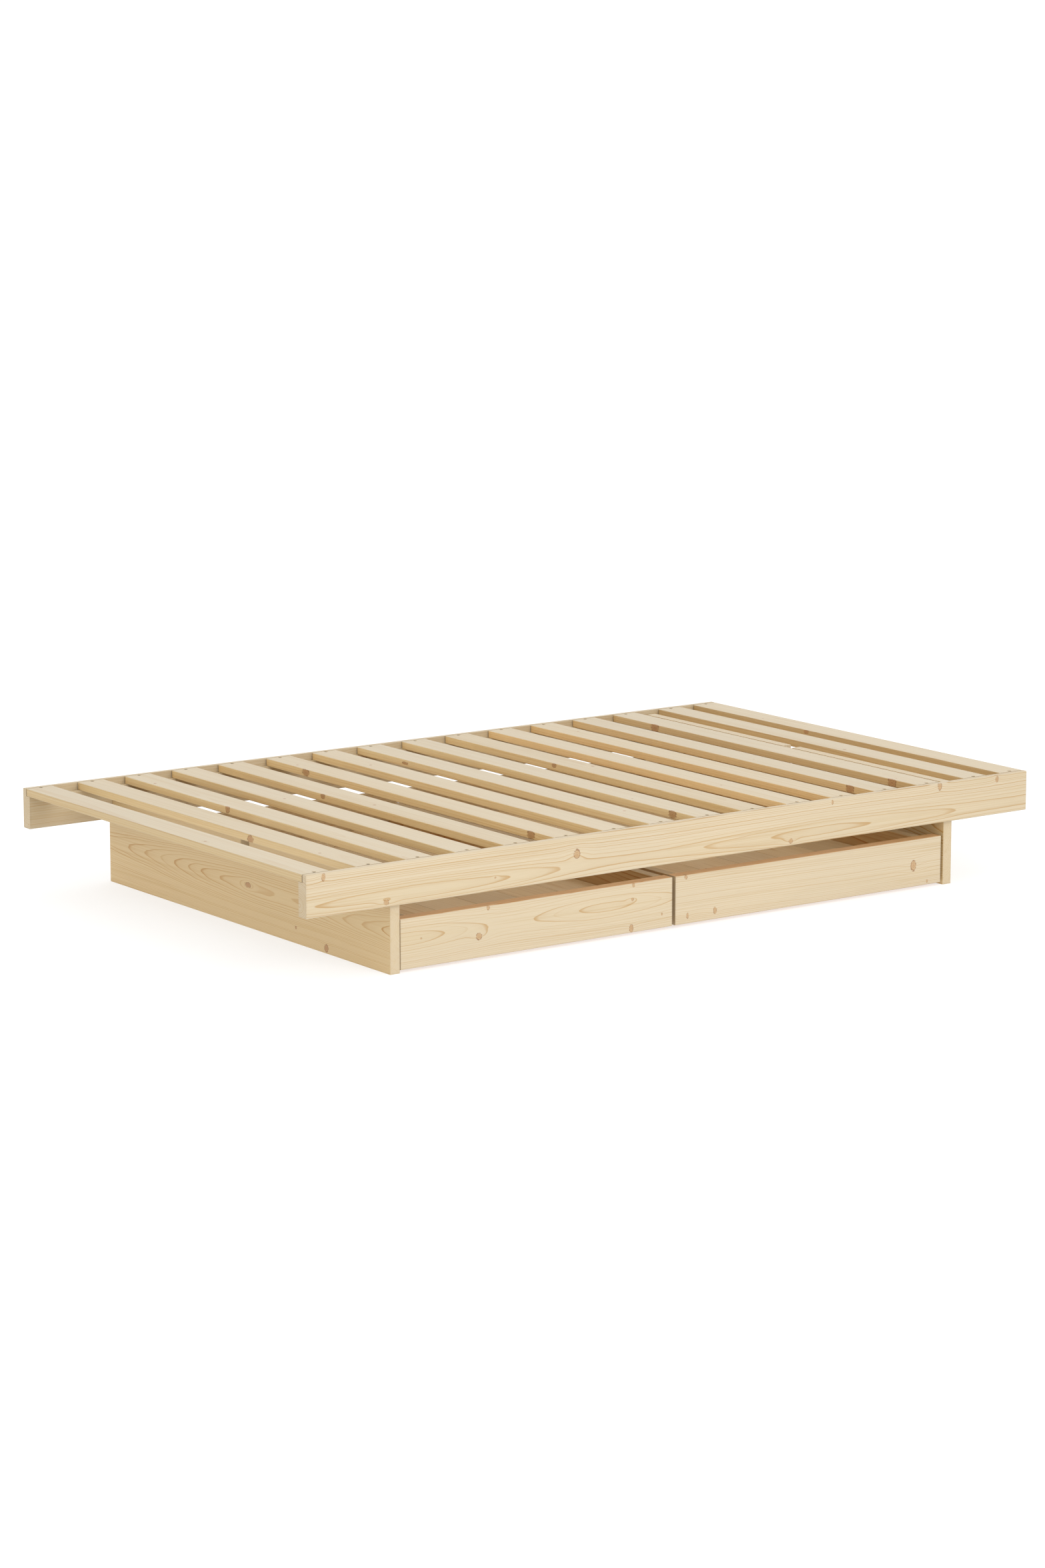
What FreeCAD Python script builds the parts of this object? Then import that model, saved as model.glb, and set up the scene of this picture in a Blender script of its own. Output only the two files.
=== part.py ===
import FreeCAD, Part
import Sketcher
import os
import re

# A low wooden bed frame: two side rails on edge, sixteen slats screwed into their ledges, two leg
# boards across the bed and two drawers that run on the floor between them.
# +X along the bed, +Z up, the drawers open towards -Y. The origin is on the floor, under the centre.

SLAT_COUNT = 16
PLANK_COUNT = 6
NEAR = 0.01  # lengths this close count as equal

SIZES = {
    # the whole frame
    "frame_length": 2060, "frame_width": 1222, "frame_height": 250,
    # side rails, with a ledge along the inner top edge
    "rail_thickness": 30, "rail_depth": 95, "rail_rounding": 2.5,
    "ledge_depth": 16.5, "groove_depth": 16.5,
    # slats
    "slat_width": 70, "slat_thickness": 18, "slat_rounding": 1.5, "slat_end_gap": 3,
    # leg boards
    "leg_thickness": 26, "leg_inset": 223.5, "leg_rounding": 2, "groove_fit": 0.3,
    "groove_cover": 7, "tall_leg_drop": 3, "tall_leg_step": 36,
    "notch_width": 36, "notch_offset": 11, "notch_depth": 60,
    # slat screws
    "screw_radius": 2.2, "screw_fit": 0.05, "screw_head_radius": 4.4, "screw_sink": 1,
    "counterbore_fit": 0.3,
    "slat_screw_length": 40, "slat_screw_setback": 6.5,
    # corner brackets between rail and leg
    "bracket_leg": 40, "bracket_thickness": 2.5, "bracket_height": 48, "bracket_drop": 14,
    "bracket_screw_length": 16, "bracket_screw_pitch": 26, "bracket_screw_reach": 24,
    # drawers: boards
    "front_thickness": 32, "front_height": 113.5, "front_rounding": 2, "front_floor_gap": 6.5,
    "side_thickness": 24, "side_rounding": 1.5, "box_depth": 1084.5,
    "back_thickness": 15, "back_height": 143, "batten_width": 24, "batten_height": 24,
    "plank_thickness": 12, "plank_gap": 1.2, "plank_rounding": 0.8, "plank_level": 51,
    # drawers: gaps round the fronts, and how far each box side stands in from its front's end
    "left_end_gap": 1, "right_end_gap": 8, "middle_gap": 9.5, "middle_offset": -30,
    "left_drawer_inset_left": 8, "left_drawer_inset_right": 6,
    "right_drawer_inset_left": 0, "right_drawer_inset_right": 39,
    # drawers: screws and glides
    "box_screw_length": 50, "box_screw_inset": 18, "front_screw_length": 36, "front_screw_inset": 60,
    "glide_radius": 10, "glide_floor_gap": 0.3, "glide_pin_radius": 1.5, "glide_pin_length": 14,
    "glide_inset": 60,
}

# how far each slat was laid from its even place along the rails
SLAT_SHIFTS = (0, 6, 2, 0, -2, 3, 4, 4, 5, 4, 4, 4, 4, 2, 17, 0)
for slat_number, slat_shift in enumerate(SLAT_SHIFTS, start=1):
    SIZES[f"slat_shift_{slat_number:02d}"] = slat_shift

doc = FreeCAD.newDocument("bed_frame")
sheet = doc.addObject("Spreadsheet::Sheet", "sizes")
for row, (alias, amount) in enumerate(SIZES.items(), start=1):
    sheet.set(f"A{row}", alias)
    sheet.set(f"B{row}", str(amount))
    sheet.setAlias(f"B{row}", alias)
doc.recompute()

subparts = []


# ---------------------------------------------------------------- reading and binding sizes

def size(alias):
    """The number in one cell of the sheet."""
    return float(sheet.get(alias))


def bound(text):
    """The same formula with each size name pointing at its cell."""
    return re.sub(r"[a-z_]\w*", lambda name: "sizes." + name.group(), text)


def place(thing, x, y, z):
    """Bind the place of a sub-part to formulas of the sizes."""
    for axis, text in zip("xyz", (x, y, z)):
        thing.setExpression("Placement.Base." + axis, bound(text))


# ---------------------------------------------------------------- PartDesign building blocks

def new_body(name, x, y, z, turned=False):
    body = doc.addObject("PartDesign::Body", name)
    body.Label = name
    if turned:
        body.Placement.Rotation = FreeCAD.Rotation(FreeCAD.Vector(0, 0, 1), 180)
    place(body, x, y, z)
    subparts.append(body)
    return body


def new_sketch(body, plane_role, offset):
    """A sketch on one of the body's own planes, moved along the plane's normal."""
    sketch = body.newObject("Sketcher::SketchObject", body.Name + "_sketch")
    plane = next(item for item in body.Origin.OriginFeatures if item.Role == plane_role)
    sketch.AttachmentSupport = [(plane, "")]
    sketch.MapMode = "FlatFace"
    sketch.setExpression("AttachmentOffset.Base.z", bound(offset))
    return sketch


def bind_distance(sketch, kind, first, second, text):
    """A horizontal or vertical distance from one point to another, tied to a formula."""
    number = sketch.addConstraint(Sketcher.Constraint(kind, *first, *second, 1.0))
    sketch.setExpression(f"Constraints[{number}]", bound(text))


def pin_point(sketch, point, u, v):
    """Hold a point at (u, v) from the sketch's origin; a plain 0 puts it on the axis."""
    for kind, axis_line, text in (("DistanceX", -2, u), ("DistanceY", -1, v)):
        if text == "0":
            sketch.addConstraint(Sketcher.Constraint("PointOnObject", *point, axis_line))
        else:
            bind_distance(sketch, kind, (-1, 1), point, text)


def draw_rectangle(sketch, u, v, wide, high):
    """A rectangle with its low corner at (u, v)."""
    corners = [FreeCAD.Vector(*corner, 0) for corner in ((1, 1), (2, 1), (2, 2), (1, 2))]
    for number in range(4):
        sketch.addGeometry(Part.LineSegment(corners[number], corners[(number + 1) % 4]))
    for number in range(4):
        sketch.addConstraint(Sketcher.Constraint("Coincident", number, 2, (number + 1) % 4, 1))
        direction = "Vertical" if number % 2 else "Horizontal"
        sketch.addConstraint(Sketcher.Constraint(direction, number))
    pin_point(sketch, (0, 1), u, v)
    bind_distance(sketch, "DistanceX", (0, 1), (0, 2), wide)
    bind_distance(sketch, "DistanceY", (1, 1), (1, 2), high)


def draw_circles(sketch, centres, radius):
    """One circle at each (u, v), all of one bound radius. They start in a row and are moved there."""
    for number, (u, v) in enumerate(centres):
        start = FreeCAD.Vector(10 * (number + 1), 10, 0)
        sketch.addGeometry(Part.Circle(start, FreeCAD.Vector(0, 0, 1), 1))
        datum = sketch.addConstraint(Sketcher.Constraint("Radius", number, 1.0))
        sketch.setExpression(f"Constraints[{datum}]", bound(radius))
        pin_point(sketch, (number, 3), u, v)


def pad(body, long_x, long_y, long_z):
    """A squared board from the body's origin corner."""
    sketch = new_sketch(body, "XY_Plane", "0")
    draw_rectangle(sketch, "0", "0", long_x, long_y)
    feature = body.newObject("PartDesign::Pad", body.Name + "_pad")
    feature.Profile = sketch
    feature.setExpression("Length", bound(long_z))
    doc.recompute()


def pocket(body, sketch, depth=None, forward=False):
    """Cut a sketch out of the body, against the sketch's normal or, forward, along it."""
    before = body.Shape.Volume
    feature = body.newObject("PartDesign::Pocket", body.Name + "_pocket")
    feature.Profile = sketch
    feature.Reversed = forward
    if depth is None:
        feature.Type = "ThroughAll"
    else:
        feature.setExpression("Length", bound(depth))
    doc.recompute()
    if not body.Shape.Volume < before:
        raise RuntimeError(f"{body.Label}: a pocket cut nothing")


def round_edges(body, radius, wanted):
    """Fillet the straight edges of the body that the test picks."""
    base = body.Tip
    names = []
    for number, edge in enumerate(base.Shape.Edges, start=1):
        if edge.Curve.TypeId == "Part::GeomLine" and wanted(edge):
            names.append(f"Edge{number}")
    feature = body.newObject("PartDesign::Fillet", body.Name + "_fillet")
    feature.Base = (base, names)
    feature.setExpression("Radius", bound(radius))
    doc.recompute()


def along(axis):
    """An edge test: parallel to the body's X, Y or Z."""
    number = "XYZ".index(axis)
    return lambda edge: abs(edge.tangentAt(edge.FirstParameter)[number]) > 0.999


def board(name, x, y, z, long_x, long_y, long_z, grain, rounding):
    """A planed board with its long edges eased."""
    body = new_body(name, x, y, z)
    pad(body, long_x, long_y, long_z)
    round_edges(body, rounding, along(grain))
    return body


def drill(body, plane_role, offset, centres, radius, depth=None, forward=False):
    """Round holes from a plane into the body."""
    sketch = new_sketch(body, plane_role, offset)
    draw_circles(sketch, centres, radius)
    pocket(body, sketch, depth, forward)


def countersink(body, axis, level):
    """A 90 degree countersink at each screw hole's mouth on the face at this level."""
    hole = size("screw_radius") + size("screw_fit")
    base = body.Tip
    names = []
    for number, edge in enumerate(base.Shape.Edges, start=1):
        if edge.Curve.TypeId != "Part::GeomCircle":
            continue
        if abs(edge.Curve.Radius - hole) < NEAR and abs(edge.CenterOfMass[axis] - level) < NEAR:
            names.append(f"Edge{number}")
    feature = body.newObject("PartDesign::Chamfer", body.Name + "_countersink")
    feature.Base = (base, names)
    feature.setExpression("Size", bound("screw_head_radius - screw_radius"))
    doc.recompute()


# ---------------------------------------------------------------- shared formulas

HOLE = "screw_radius + screw_fit"
RAIL_UNDERSIDE = "frame_height - rail_depth"
LEDGE_TOP = "(frame_height - slat_thickness)"
SLAT_START = "(rail_thickness - ledge_depth + slat_end_gap)"
LEG_START = "(rail_thickness - groove_depth + groove_fit)"
LOW_LEG_TOP = f"({LEDGE_TOP} - groove_cover)"
TALL_LEG_TOP = "(frame_height - tall_leg_drop)"
BRACKET_BITE = "bracket_screw_length - bracket_thickness + screw_fit"
BRACKET_MIDDLE = f"({LEDGE_TOP} - bracket_drop - bracket_height / 2)"
BRACKET_SCREW_LEVELS = (
    f"{BRACKET_MIDDLE} - bracket_screw_pitch / 2",
    f"{BRACKET_MIDDLE} + bracket_screw_pitch / 2",
)


def slat_middle(number):
    """The middle of a slat, from the left end of the frame. Slats are numbered from 1."""
    step = f"{number - 1} * (frame_length - slat_width) / {SLAT_COUNT - 1}"
    return f"(slat_width / 2 + {step} + slat_shift_{number:02d})"


# ---------------------------------------------------------------- rails, slats and legs

def make_rail(name, is_front):
    """One side rail. The back rail is the same board turned end for end."""
    if is_front:
        body = new_body(name, "-frame_length / 2", "-frame_width / 2", RAIL_UNDERSIDE)
    else:
        body = new_body(name, "frame_length / 2", "frame_width / 2", RAIL_UNDERSIDE, turned=True)
    pad(body, "frame_length", "rail_thickness", "rail_depth")
    sketch = new_sketch(body, "YZ_Plane", "0")
    ledge_start = "rail_thickness - ledge_depth"
    ledge_height = "rail_depth - slat_thickness"
    draw_rectangle(sketch, ledge_start, ledge_height, "ledge_depth + 1", "slat_thickness + 1")
    pocket(body, sketch, forward=True)
    round_edges(body, "rail_rounding", lambda edge: along("X")(edge) and is_outer_edge(edge))

    # grooves for the leg boards; only the tall leg's front end goes on up through the ledge
    groove_start = "rail_thickness - groove_depth"
    groove_wide = "leg_thickness + 2 * groove_fit"
    low = f"{LOW_LEG_TOP} + groove_fit - ({RAIL_UNDERSIDE})"
    high = ledge_height if is_front else low
    for start, height in (
        ("leg_inset - groove_fit", low),
        ("frame_length - leg_inset - leg_thickness - groove_fit", high),
    ):
        sketch = new_sketch(body, "XY_Plane", "0")
        draw_rectangle(sketch, start, groove_start, groove_wide, "groove_depth + 1")
        pocket(body, sketch, height, forward=True)

    centres = []
    for number in range(1, SLAT_COUNT + 1):
        middle = slat_middle(number)
        from_end = middle if is_front else f"frame_length - {middle}"
        centres.append((from_end, f"{SLAT_START} + slat_screw_setback"))
    bite = "slat_screw_length - slat_thickness + screw_sink + screw_fit"
    drill(body, "XY_Plane", ledge_height, centres, HOLE, bite)

    centres = []
    for level in BRACKET_SCREW_LEVELS:
        from_end = "leg_inset + leg_thickness + bracket_screw_reach"
        centres.append((from_end, f"{level} - ({RAIL_UNDERSIDE})"))
        centres.append((f"frame_length - ({from_end})", f"{level} - ({RAIL_UNDERSIDE})"))
    drill(body, "XZ_Plane", "-rail_thickness", centres, HOLE, BRACKET_BITE, forward=True)


def is_outer_edge(edge):
    """Whether a rail's long edge is one of the three eased outer ones."""
    middle = edge.CenterOfMass
    outside = middle.y < NEAR
    inner_bottom = middle.z < NEAR
    return outside or inner_bottom


def make_slat(number):
    """One slat, screwed down at both ends into the ledges."""
    length = f"frame_width - 2 * {SLAT_START}"
    name = f"slat_{number:02d}"
    x = f"-frame_length / 2 + {slat_middle(number)} - slat_width / 2"
    y = f"-frame_width / 2 + {SLAT_START}"
    body = board(name, x, y, LEDGE_TOP, "slat_width", length, "slat_thickness", "Y", "slat_rounding")
    near = "slat_screw_setback"
    centres = [("slat_width / 2", near), ("slat_width / 2", f"{length} - {near}")]
    counterbore = "screw_head_radius + counterbore_fit"
    drill(body, "XY_Plane", "slat_thickness", centres, counterbore, "screw_sink")
    drill(body, "XY_Plane", "slat_thickness", centres, HOLE)
    countersink(body, 2, size("slat_thickness") - size("screw_sink"))


def make_leg(name, is_tall):
    """A leg board across the bed, housed in the rails, with a notch at mid width."""
    x = "frame_length / 2 - leg_inset - leg_thickness" if is_tall else "-frame_length / 2 + leg_inset"
    body = new_body(name, x, f"-frame_width / 2 + {LEG_START}", "0")
    length = f"frame_width - 2 * {LEG_START}"
    top = TALL_LEG_TOP if is_tall else LOW_LEG_TOP
    pad(body, "leg_thickness", length, top)
    round_edges(body, "leg_rounding", along("Z"))

    notch_start = f"({length}) / 2 - notch_width / 2 - notch_offset"
    notch_floor = f"{LOW_LEG_TOP} - notch_depth"
    sketch = new_sketch(body, "YZ_Plane", "0")
    draw_rectangle(sketch, notch_start, notch_floor, "notch_width", "frame_height")
    pocket(body, sketch, forward=True)
    if is_tall:
        sketch = new_sketch(body, "YZ_Plane", "0")
        draw_rectangle(sketch, f"{length} - tall_leg_step", LOW_LEG_TOP, "2 * tall_leg_step", "frame_height")
        pocket(body, sketch, forward=True)

    from_end = f"rail_thickness + bracket_screw_reach - {LEG_START}"
    centres = []
    for level in BRACKET_SCREW_LEVELS:
        centres.append((from_end, level))
        centres.append((f"{length} - ({from_end})", level))
    inner_face = "0" if is_tall else "leg_thickness"
    drill(body, "YZ_Plane", inner_face, centres, HOLE, BRACKET_BITE, forward=is_tall)


# ---------------------------------------------------------------- fasteners and fittings

def group(name, solids):
    """Identical loose pieces kept together as one sub-part."""
    feature = doc.addObject("Part::Feature", name)
    feature.Label = name
    feature.Shape = Part.makeCompound(solids)
    feature.Placement = FreeCAD.Placement()
    subparts.append(feature)


def wood_screw(length, seat, direction, countersunk=True):
    """A cross-head screw. A countersunk one has its head's face at the seat, a pan head its foot."""
    head_radius = size("screw_head_radius")
    shank = size("screw_radius")
    head_height = head_radius - shank
    point_height = 2 * shank
    point_radius = 0.3
    if countersunk:
        face = 0
        head = [(0, face), (head_radius, 0), (shank, head_height)]
    else:
        face = -head_height
        head = [(0, face), (head_radius, face), (head_radius, 0), (shank, 0)]
    outline = head + [(shank, length - point_height), (point_radius, length), (0, length)]
    wire = Part.makePolygon([FreeCAD.Vector(r, 0, height) for r, height in outline + outline[:1]])
    screw = Part.Face(wire).revolve(FreeCAD.Vector(0, 0, 0), FreeCAD.Vector(0, 0, 1), 360)
    recess_long = 1.2 * head_radius
    recess_wide = 0.28 * head_radius
    recess_deep = 0.8 * head_height
    for long_x, long_y in ((recess_long, recess_wide), (recess_wide, recess_long)):
        corner = FreeCAD.Vector(-long_x / 2, -long_y / 2, face - 1)
        screw = screw.cut(Part.makeBox(long_x, long_y, recess_deep + 1, corner))
    turn = FreeCAD.Rotation(FreeCAD.Vector(0, 0, 1), direction)
    screw.Placement = FreeCAD.Placement(seat, turn)
    return screw.Solids[0]


def slat_screws(name, is_front):
    """The screws that hold the slats' ends to one rail."""
    down = FreeCAD.Vector(0, 0, -1)
    height = size("frame_height") - size("screw_sink")
    screws = []
    for body in subparts:
        if body.Label.startswith("slat_") and body.Label[-2:].isdigit():
            x = body.Placement.Base.x + size("slat_width") / 2
            y = body.Placement.Base.y + size("slat_screw_setback")
            head = FreeCAD.Vector(x, y if is_front else -y, height)
            screws.append(wood_screw(size("slat_screw_length"), head, down))
    group(name, screws)


def bracket_corners():
    """Each inner corner of leg and rail: its place and the ways to the bed's middle."""
    inner_x = size("frame_length") / 2 - size("leg_inset") - size("leg_thickness")
    inner_y = size("frame_width") / 2 - size("rail_thickness")
    for way_x in (-1, 1):
        for way_y in (-1, 1):
            yield FreeCAD.Vector(way_x * inner_x, way_y * inner_y, 0), -way_x, -way_y


def bracket_screw_places():
    """Each bracket screw: the place on the bracket's face and the way it points."""
    reach = size("bracket_screw_reach")
    metal = size("bracket_thickness")
    half_pitch = size("bracket_screw_pitch") / 2
    middle = bracket_underside() + size("bracket_height") / 2
    for corner, to_x, to_y in bracket_corners():
        for height in (middle - half_pitch, middle + half_pitch):
            on_rail = corner + FreeCAD.Vector(to_x * reach, to_y * metal, height)
            yield on_rail, FreeCAD.Vector(0, -to_y, 0)
            on_leg = corner + FreeCAD.Vector(to_x * metal, to_y * reach, height)
            yield on_leg, FreeCAD.Vector(-to_x, 0, 0)


def bracket_underside():
    top = size("frame_height") - size("slat_thickness") - size("bracket_drop")
    return top - size("bracket_height")


def make_brackets():
    """Steel angle brackets that tie each leg board to each rail."""
    leg = size("bracket_leg")
    metal = size("bracket_thickness")
    hole = size("screw_radius") + size("screw_fit")
    outline = [(0, 0), (leg, 0), (leg, metal), (metal, metal), (metal, leg), (0, leg)]
    solids = []
    for corner, to_x, to_y in bracket_corners():
        points = [corner + FreeCAD.Vector(to_x * u, to_y * v, bracket_underside()) for u, v in outline]
        wire = Part.makePolygon(points + points[:1])
        bracket = Part.Face(wire).extrude(FreeCAD.Vector(0, 0, size("bracket_height")))
        for seat, way in bracket_screw_places():
            bracket = bracket.cut(Part.makeCylinder(hole, 3 * metal, seat - way * metal, way))
        solids.append(bracket.Solids[0])
    group("corner_brackets", solids)


def make_bracket_screws():
    length = size("bracket_screw_length")
    screws = [wood_screw(length, seat, way, False) for seat, way in bracket_screw_places()]
    group("bracket_screws", screws)


# ---------------------------------------------------------------- drawers

class Drawer:
    """One drawer: its name, the ends of its front and the ends of its box, as formulas."""

    def __init__(self, name, start, end):
        self.name = name
        self.start = start
        self.end = end
        self.box_start = f"({start} + {name}_inset_left)"
        self.box_end = f"({end} - {name}_inset_right)"
        self.inner_start = f"({self.box_start} + side_thickness)"
        self.inner_long = f"({self.box_end} - {self.box_start} - 2 * side_thickness)"


LEFT_DRAWER = Drawer(
    "left_drawer",
    "(-frame_length / 2 + leg_inset + leg_thickness + left_end_gap)",
    "(middle_offset - middle_gap / 2)",
)
RIGHT_DRAWER = Drawer(
    "right_drawer",
    "(middle_offset + middle_gap / 2)",
    "(frame_length / 2 - leg_inset - leg_thickness - right_end_gap)",
)

FRONT_FACE = f"(-frame_width / 2 + {LEG_START})"
BOX_FRONT = f"({FRONT_FACE} + front_thickness)"
BACK_INNER = f"({BOX_FRONT} + box_depth - back_thickness)"
BATTEN_LEVEL = "(plank_level - batten_height)"
BATTEN_PLACES = (
    BOX_FRONT,
    f"(({BOX_FRONT} + {BACK_INNER}) / 2 - batten_width / 2)",
    f"({BACK_INNER} - batten_width)",
)
SIDE_LONG = "(box_depth - back_thickness)"
BOX_BITE = "box_screw_length - side_thickness + screw_fit"
BACK_SCREW_LEVELS = ("box_screw_inset", "front_height - box_screw_inset")


def front_screw_middles(drawer):
    """Where the screws from the front batten enter the front, from the box's inner start."""
    return "front_screw_inset", f"{drawer.inner_long} / 2", f"{drawer.inner_long} - front_screw_inset"


def make_front(drawer):
    """The drawer's front, screwed on from inside, so its face is plain."""
    long_x = f"{drawer.end} - {drawer.start}"
    sizes = (long_x, "front_thickness", "front_height")
    name = drawer.name + "_front"
    place_text = (drawer.start, FRONT_FACE, "front_floor_gap")
    body = board(name, *place_text, *sizes, "X", "front_rounding")
    level = f"{BATTEN_LEVEL} + batten_height / 2 - front_floor_gap"
    inset = f"{drawer.inner_start} - {drawer.start}"
    centres = [(f"{inset} + {middle}", level) for middle in front_screw_middles(drawer)]
    bite = "front_screw_length - batten_width + screw_fit"
    drill(body, "XZ_Plane", "-front_thickness", centres, HOLE, bite, forward=True)


def make_side(drawer, is_left):
    """A box side, with screw holes for the back and the battens and pin holes for the glides."""
    x = drawer.box_start if is_left else f"{drawer.box_end} - side_thickness"
    name = drawer.name + ("_side_left" if is_left else "_side_right")
    sizes = ("side_thickness", SIDE_LONG, "front_height")
    body = board(name, x, BOX_FRONT, "front_floor_gap", *sizes, "Y", "side_rounding")
    centres = [("side_thickness / 2", level) for level in BACK_SCREW_LEVELS]
    bite = "box_screw_length - back_thickness + screw_fit"
    drill(body, "XZ_Plane", f"-{SIDE_LONG}", centres, HOLE, bite, forward=True)
    centres = []
    for start in BATTEN_PLACES:
        level = f"{BATTEN_LEVEL} + batten_height / 2 - front_floor_gap"
        centres.append((f"{start} + batten_width / 2 - {BOX_FRONT}", level))
    outer_face = "0" if is_left else "side_thickness"
    drill(body, "YZ_Plane", outer_face, centres, HOLE, forward=is_left)
    countersink(body, 0, 0 if is_left else size("side_thickness"))
    pins = [("side_thickness / 2", "glide_inset"), ("side_thickness / 2", "box_depth - glide_inset")]
    pin_radius = "glide_pin_radius + screw_fit"
    drill(body, "XY_Plane", "0", pins, pin_radius, "glide_pin_length + screw_fit", forward=True)
    return body


def make_back(drawer):
    """The box's back, which covers the ends of its sides and stands higher than they do."""
    long_x = f"({drawer.box_end} - {drawer.box_start})"
    sizes = (long_x, "back_thickness", "back_height")
    name = drawer.name + "_back"
    place_text = (drawer.box_start, BACK_INNER, "front_floor_gap")
    body = board(name, *place_text, *sizes, "X", "side_rounding")
    centres = []
    for level in BACK_SCREW_LEVELS:
        centres.append(("side_thickness / 2", level))
        centres.append((f"{long_x} - side_thickness / 2", level))
    drill(body, "XZ_Plane", "-back_thickness", centres, HOLE, forward=True)
    countersink(body, 1, size("back_thickness"))


def make_battens(drawer):
    """Three battens across the box, which carry the planks."""
    battens = []
    for number, start in enumerate(BATTEN_PLACES, start=1):
        name = f"{drawer.name}_batten_{number}"
        sizes = (drawer.inner_long, "batten_width", "batten_height")
        place_text = (drawer.inner_start, start, BATTEN_LEVEL)
        body = board(name, *place_text, *sizes, "X", "side_rounding")
        centres = [("batten_width / 2", "batten_height / 2")]
        drill(body, "YZ_Plane", "0", centres, HOLE, BOX_BITE, forward=True)
        drill(body, "YZ_Plane", drawer.inner_long, centres, HOLE, BOX_BITE)
        battens.append(body)
    centres = [(middle, "batten_height / 2") for middle in front_screw_middles(drawer)]
    drill(battens[0], "XZ_Plane", "-batten_width", centres, HOLE, forward=True)
    countersink(battens[0], 1, size("batten_width"))
    return battens


def make_planks(drawer):
    """The bottom: planks from front to back, laid side by side on the battens."""
    wide = f"(({drawer.inner_long} - {PLANK_COUNT + 1} * plank_gap) / {PLANK_COUNT})"
    long_y = f"{BACK_INNER} - {BOX_FRONT} - 2 * plank_gap"
    for number in range(PLANK_COUNT):
        name = f"{drawer.name}_plank_{number + 1}"
        x = f"{drawer.inner_start} + plank_gap + {number} * ({wide} + plank_gap)"
        place_text = (x, f"{BOX_FRONT} + plank_gap", "plank_level")
        board(name, *place_text, wide, long_y, "plank_thickness", "Y", "plank_rounding")


def make_drawer_screws(drawer, left_side, right_side, front_batten):
    """The screws of one drawer: through the sides, the back and the front batten."""
    box_front = left_side.Placement.Base.y
    half_batten = size("batten_width") / 2
    low = size("plank_level") - size("batten_height") / 2
    floor_gap = size("front_floor_gap")
    inset = size("box_screw_inset")
    back = box_front + size("box_depth")
    inner_back = back - size("back_thickness")
    length = size("box_screw_length")
    left_face = left_side.Placement.Base.x
    right_face = right_side.Placement.Base.x + size("side_thickness")
    screws = []
    for y in (box_front + half_batten, (box_front + inner_back) / 2, inner_back - half_batten):
        screws.append(wood_screw(length, FreeCAD.Vector(left_face, y, low), FreeCAD.Vector(1, 0, 0)))
        screws.append(wood_screw(length, FreeCAD.Vector(right_face, y, low), FreeCAD.Vector(-1, 0, 0)))
    for z in (floor_gap + inset, floor_gap + size("front_height") - inset):
        for side in (left_side, right_side):
            head = FreeCAD.Vector(side.Placement.Base.x + size("side_thickness") / 2, back, z)
            screws.append(wood_screw(length, head, FreeCAD.Vector(0, -1, 0)))
    inner_start = front_batten.Placement.Base.x
    inner_long = right_face - left_face - 2 * size("side_thickness")
    batten_face = box_front + size("batten_width")
    reach = size("front_screw_inset")
    for x in (reach, inner_long / 2, inner_long - reach):
        head = FreeCAD.Vector(inner_start + x, batten_face, low)
        screws.append(wood_screw(size("front_screw_length"), head, FreeCAD.Vector(0, -1, 0)))
    group(drawer.name + "_screws", screws)


def make_glides(drawer, sides):
    """Plastic glides pinned under the box sides."""
    low = size("glide_floor_gap")
    thick = size("front_floor_gap") - low
    up = FreeCAD.Vector(0, 0, 1)
    glides = []
    for side in sides:
        for along_y in (size("glide_inset"), size("box_depth") - size("glide_inset")):
            x = side.Placement.Base.x + size("side_thickness") / 2
            foot = FreeCAD.Vector(x, side.Placement.Base.y + along_y, low)
            disc = Part.makeCylinder(size("glide_radius"), thick, foot, up)
            pin = Part.makeCylinder(size("glide_pin_radius"), thick + size("glide_pin_length"), foot, up)
            glides.append(disc.fuse(pin).removeSplitter().Solids[0])
    group(drawer.name + "_glides", glides)


def make_drawer(drawer):
    make_front(drawer)
    left_side = make_side(drawer, True)
    right_side = make_side(drawer, False)
    make_back(drawer)
    battens = make_battens(drawer)
    make_planks(drawer)
    make_drawer_screws(drawer, left_side, right_side, battens[0])
    make_glides(drawer, (left_side, right_side))


# ---------------------------------------------------------------- build, check and write

make_rail("rail_front", True)
make_rail("rail_back", False)
for slat_number in range(1, SLAT_COUNT + 1):
    make_slat(slat_number)
make_leg("leg_left", False)
make_leg("leg_right", True)
slat_screws("slat_screws_front", True)
slat_screws("slat_screws_back", False)
make_brackets()
make_bracket_screws()
make_drawer(LEFT_DRAWER)
make_drawer(RIGHT_DRAWER)
doc.recompute()

for item in doc.Objects:
    if "Invalid" in item.State or "Error" in item.State:
        raise RuntimeError(f"{item.Label}: {item.State}")
for subpart in subparts:
    if subpart.Shape.isNull() or not subpart.Shape.isValid():
        raise RuntimeError(f"{subpart.Label}: its shape is not valid")

os.makedirs("parts", exist_ok=True)
for subpart in subparts:
    subpart.Shape.exportStep(f"parts/{subpart.Label}.step")
    print(subpart.Label, len(subpart.Shape.Solids), round(subpart.Shape.Volume / 1000, 1), "cm3")
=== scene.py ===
import math
import random

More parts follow.
